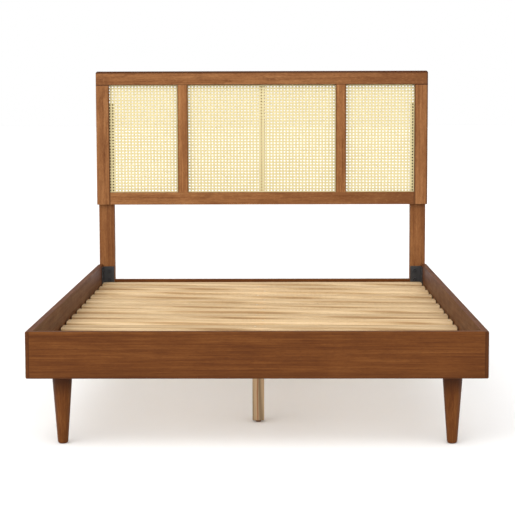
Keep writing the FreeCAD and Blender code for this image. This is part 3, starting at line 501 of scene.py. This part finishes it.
def weave_panel(where, seed):
    """Six-way cane round open holes: pairs upright and level, and single strands both ways."""
    low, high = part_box(f"cane_panel_{where}")
    chance = random.Random(seed)
    hole = {
        "left": BOTTOM_LOW.x + COLUMN_PLACE["left"],
        "centre": (low.x + high.x) / 2 + COLUMN_PLACE["centre"],
        "right": BOTTOM_HIGH.x - COLUMN_PLACE["right"],
    }[where]
    columns = grid_lines(hole + PITCH_X / 2, PITCH_X, low.x, high.x)
    rows = grid_lines(TOP_LOW.z - FIRST_ROW + PITCH_Z / 2, PITCH_Z, low.z, high.z)
    middle = (low.y + high.y) / 2
    mesh = {"points": [], "faces": []}
    weave_grid(mesh, chance, columns, rows, low, high, middle)
    weave_diagonals(mesh, chance, columns, rows, low, high, middle)

    data = bpy.data.meshes.new(f"cane_weave_{where}")
    data.from_pydata([tuple(point) for point in mesh["points"]], [], mesh["faces"])
    data.materials.append(cane_skin(f"cane_skin_{where}", seed, *CANE_TONES))
    data.shade_smooth()
    data.set_sharp_from_angle(angle=math.radians(60))
    piece = bpy.data.objects.new(f"cane_weave_{where}", data)
    bpy.context.scene.collection.objects.link(piece)
    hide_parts(f"cane_panel_{where}")
    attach(piece, "root")


def finish_cane():
    """The three woven panels and the reed strips that hold them from behind."""
    for seed, where in enumerate(("left", "centre", "right"), start=31):
        weave_panel(where, seed)
        paint([f"cane_spline_{where}"], cane_skin(f"reed_skin_{where}", seed + 10, *REED_TONES))


# ---------------------------------------------------------------------------------------------
# Bare timber under the mattress, and fittings
# ---------------------------------------------------------------------------------------------

SLAT_TONES = ((0.66, 0.49, 0.29), (0.52, 0.36, 0.19), (0.36, 0.22, 0.10))
BATTEN_TONES = ((0.80, 0.62, 0.38), (0.70, 0.52, 0.30), (0.50, 0.35, 0.18))
PINE_TONES = ((0.50, 0.34, 0.19), (0.34, 0.24, 0.135), (0.21, 0.14, 0.075))


def finish_timber():
    """Slats, ledgers, beam, blocks, batten and the square support legs."""
    slats = sorted(name for name in NODES if name.startswith("slat_"))
    for seed, name in enumerate(slats, start=51):
        share = random.Random(seed).uniform(0.90, 1.08)
        tones = [tinted(tone, (share, share, share)) for tone in SLAT_TONES]
        paint([name], bare_wood(f"pine_{name}", "X", seed, *tones, knots=0.8))
    for seed, name in enumerate(("ledger_left", "ledger_right", "centre_beam"), start=71):
        paint([name], bare_wood(f"pine_{name}", "Y", seed, *SLAT_TONES, knots=0.6))
    for seed, name in enumerate(("leg_block_left", "leg_block_right"), start=75):
        paint([name], bare_wood(f"pine_{name}", "X", seed, *SLAT_TONES))
    paint(["headboard_batten"], bare_wood("pine_batten", "Z", 78, *BATTEN_TONES))
    for seed, where in ((81, "front"), (82, "rear")):
        paint([f"support_leg_{where}"], bare_wood(
            f"pine_support_leg_{where}", "Z", seed, *PINE_TONES, seam=("X", -0.002, 0.0028)
        ))
    paint(["dowels"], bare_wood("beech_dowels", "Z", 85, *SLAT_TONES))


def finish_fittings():
    """Brackets, hangers, bolts, screws, inserts and levelling feet."""
    black = coated_steel("black_powder_coat", 91, (0.018, 0.018, 0.019), 0.42)
    oxide = coated_steel("black_oxide", 92, (0.030, 0.030, 0.033), 0.35, metallic=0.6)
    zinc = coated_steel("zinc_plate", 93, (0.62, 0.61, 0.57), 0.34, metallic=1.0, grit=1500.0)
    paint(["head_bracket_left", "head_bracket_right", "foot_bracket_left", "foot_bracket_right",
           "beam_hanger_foot", "beam_hanger_head"], black)
    paint(["headboard_bolts", "bracket_bolts", "support_leg_bolts"], oxide)
    paint(["threaded_inserts", "short_wood_screws", "long_wood_screws", "leg_hanger_bolts", "leg_nuts"], zinc)
    plastic = moulded_plastic("foot_plastic", 94, (0.150, 0.055, 0.020))
    paint(["levelling_foot_front", "levelling_foot_rear"], plastic)


# ---------------------------------------------------------------------------------------------
# Floor, light and camera
# ---------------------------------------------------------------------------------------------

AMBIENT = 0.50          # light from every side
GLOW = 2.00             # light added from the brightest side
GLOW_FROM = (-0.20, -0.78, 0.59)
FLOOR_REACH = 60.0      # half the floor's width
FLOOR = 0.86            # the floor's own whiteness; lit as above it comes out white


def lay_floor():
    """A pale floor, wide enough to meet the white surroundings."""
    mix = new_material("pale_floor")
    speck = mix.noise(mix.place(), 3.0, 3.0)
    mix.finish(mix.ramp(speck, (0.3, FLOOR - 0.005), (0.7, FLOOR + 0.005)), 0.85, Specular_IOR_Level=0.0)
    corners = [(x, y, 0) for x, y in ((-1, -1), (1, -1), (1, 1), (-1, 1))]
    corners = [(x * FLOOR_REACH, y * FLOOR_REACH, z) for x, y, z in corners]
    data = bpy.data.meshes.new("floor")
    data.from_pydata(corners, [], [(0, 1, 2, 3)])
    data.materials.append(mix.owner)
    floor = bpy.data.objects.new("floor", data)
    bpy.context.scene.collection.objects.link(floor)


def hang_light(name, place, target, size, power):
    """One large soft panel aimed at a point."""
    lamp = bpy.data.lights.new(name, "AREA")
    lamp.shape = "RECTANGLE"
    lamp.size, lamp.size_y = size
    lamp.energy = power
    item = bpy.data.objects.new(name, lamp)
    item.location = place
    item.rotation_euler = (Vector(target) - Vector(place)).to_track_quat("-Z", "Y").to_euler()
    bpy.context.scene.collection.objects.link(item)


def light_studio():
    """A plain white backdrop, soft light mostly from the front and above, and one large panel."""
    world = bpy.data.worlds.new("studio")
    mix = Recipe(world)
    direction = mix.add("ShaderNodeTexCoord", outlet=0)
    settings = {"operation": "DOT_PRODUCT"}
    facing = mix.add("ShaderNodeVectorMath", settings, {0: direction, 1: GLOW_FROM}, outlet=1)
    glow = facing.math("MAXIMUM", 0.0) * GLOW + AMBIENT
    backdrop = mix.add("ShaderNodeLightPath", outlet=0)
    mix.plug(mix.tree.nodes["Background"].inputs["Strength"], glow * (1.0 - backdrop) + backdrop)
    mix.plug(mix.tree.nodes["Background"].inputs["Color"], (1.0, 1.0, 1.0))
    bpy.context.scene.world = world
    hang_light("key_panel", place=(-2.4, -4.6, 4.4), target=(0.0, 0.2, 0.6), size=(4.0, 3.0), power=60.0)


def set_camera():
    """A long lens a little above the headboard's middle, square to the foot rail."""
    lens = bpy.data.cameras.new("camera")
    lens.sensor_width = 36.0
    lens.lens = 104.04
    lens.shift_y = -0.058
    camera = bpy.data.objects.new("camera", lens)
    turn, tip, roll = 0.0123, -0.0843, 0.0028       # radians from looking level along +Y
    eye = (0.061, -5.637, 1.100)
    spin = Matrix.Rotation(turn, 4, "Z") @ Matrix.Rotation(tip, 4, "X") @ Matrix.Rotation(roll, 4, "Y")
    level = Matrix.Rotation(math.pi / 2, 4, "X")
    camera.matrix_world = Matrix.Translation(eye) @ spin @ level
    bpy.context.scene.collection.objects.link(camera)
    bpy.context.scene.camera = camera


bpy.context.scene.view_settings.view_transform = "Standard"
set_camera()
lay_floor()
light_studio()
finish_headboard()
finish_rails()
finish_cane()
finish_timber()
finish_fittings()
